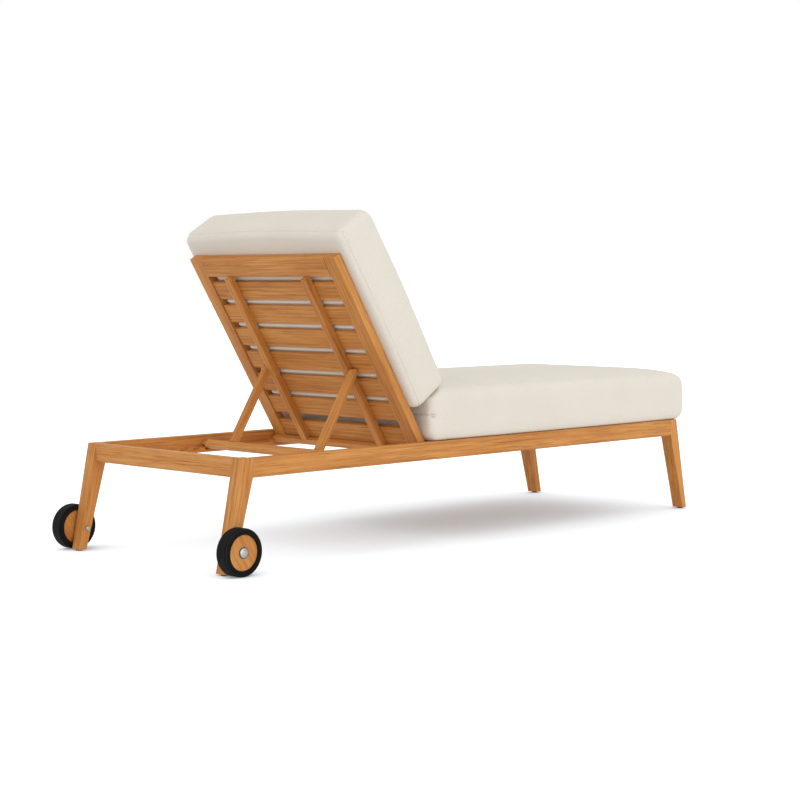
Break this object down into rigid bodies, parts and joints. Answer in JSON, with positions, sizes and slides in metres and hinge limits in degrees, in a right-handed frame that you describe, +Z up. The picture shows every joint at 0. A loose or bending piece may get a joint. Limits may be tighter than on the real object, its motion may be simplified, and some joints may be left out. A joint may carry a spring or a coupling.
{
  "type": "reclining chaise lounger",
  "caption": "Slatted teak chaise lounger with a reclining propped back, notched racks, rear wheels and thick seat and back cushions.",
  "frame": {"origin": "on the floor under the middle of the bounding box", "axes": "+X across to the right as seen from the foot end, +Y along the lounger from its foot end to its wheels, +Z up"},
  "size_m": [0.7914, 2.1096, 0.9895],
  "materials": {
    "teak": "satin oiled teak, straight grain along each piece",
    "hub_teak": "satin oiled teak disc",
    "screw_steel": "satin stainless steel",
    "pin_steel": "satin stainless steel",
    "axle_steel": "satin stainless steel domed caps",
    "glide_plastic": "dark nylon",
    "tyre_rubber": "dull black rubber with faint grooves",
    "seat_fabric": "off-white fine weave outdoor canvas",
    "back_fabric": "off-white fine weave outdoor canvas"
  },
  "bodies": {
    "base": {"side_rail_left": "teak", "side_rail_right": "teak", "foot_leg_left": "teak", "foot_leg_right": "teak", "rear_leg_left": "teak", "rear_leg_right": "teak", "foot_rail": "teak", "rear_rail": "teak", "deck_bearer": "teak", "deck_screws": "screw_steel", "hinge_pins": "pin_steel", "leg_glides": "glide_plastic", "axle_spacers": "axle_steel", "axle_nuts": "axle_steel", "seat_cleat_left": "teak", "seat_cleat_right": "teak", "prop_rack_left": "teak", "prop_rack_right": "teak", "axle_bolt_left": "axle_steel", "axle_bolt_right": "axle_steel", "seat_slat_1": "teak", "seat_slat_2": "teak", "seat_slat_3": "teak", "seat_slat_4": "teak", "seat_slat_5": "teak", "seat_slat_6": "teak", "seat_slat_7": "teak", "seat_slat_8": "teak", "seat_slat_9": "teak", "seat_slat_10": "teak", "seat_slat_11": "teak", "seat_slat_12": "teak", "seat_slat_13": "teak", "seat_slat_14": "teak", "seat_cushion": "seat_fabric"},
    "back": {"back_stile_left": "teak", "back_stile_right": "teak", "back_top_rail": "teak", "back_bottom_rail": "teak", "back_slat_1": "teak", "back_slat_2": "teak", "back_slat_3": "teak", "back_slat_4": "teak", "back_slat_5": "teak", "back_slat_6": "teak", "back_batten_left": "teak", "back_batten_right": "teak", "back_pivot_bar": "teak", "prop_pins": "pin_steel", "back_cushion": "back_fabric"},
    "prop_frame": {"prop_arm_left": "teak", "prop_arm_right": "teak", "prop_crossbar": "teak", "prop_screws": "screw_steel"},
    "wheel_left": {"tyre_left": "tyre_rubber", "wheel_hub_left": "hub_teak"},
    "wheel_right": {"tyre_right": "tyre_rubber", "wheel_hub_right": "hub_teak"}
  },
  "joints": [
    {"name": "back_recline", "type": "hinge", "parent": "base", "child": "back", "pos_m": [0, 0.24921, 0.283], "axis": [1, 0, 0], "range_deg": [-55.5, 0]},
    {"name": "prop_swing", "type": "hinge", "parent": "back", "child": "prop_frame", "pos_m": [0, 0.39388, 0.51452], "axis": [1, 0, 0], "range_deg": [0, 111]},
    {"name": "wheel_spin_left", "type": "hinge", "parent": "base", "child": "wheel_left", "pos_m": [-0.3725, 0.98929, 0.0655], "axis": [1, 0, 0], "continuous": true},
    {"name": "wheel_spin_right", "type": "hinge", "parent": "base", "child": "wheel_right", "pos_m": [0.3725, 0.98929, 0.0655], "axis": [1, 0, 0], "continuous": true}
  ],
  "couplings": [
    {"joint": "prop_swing", "follows": "back_recline", "ratio": -2}
  ]
}
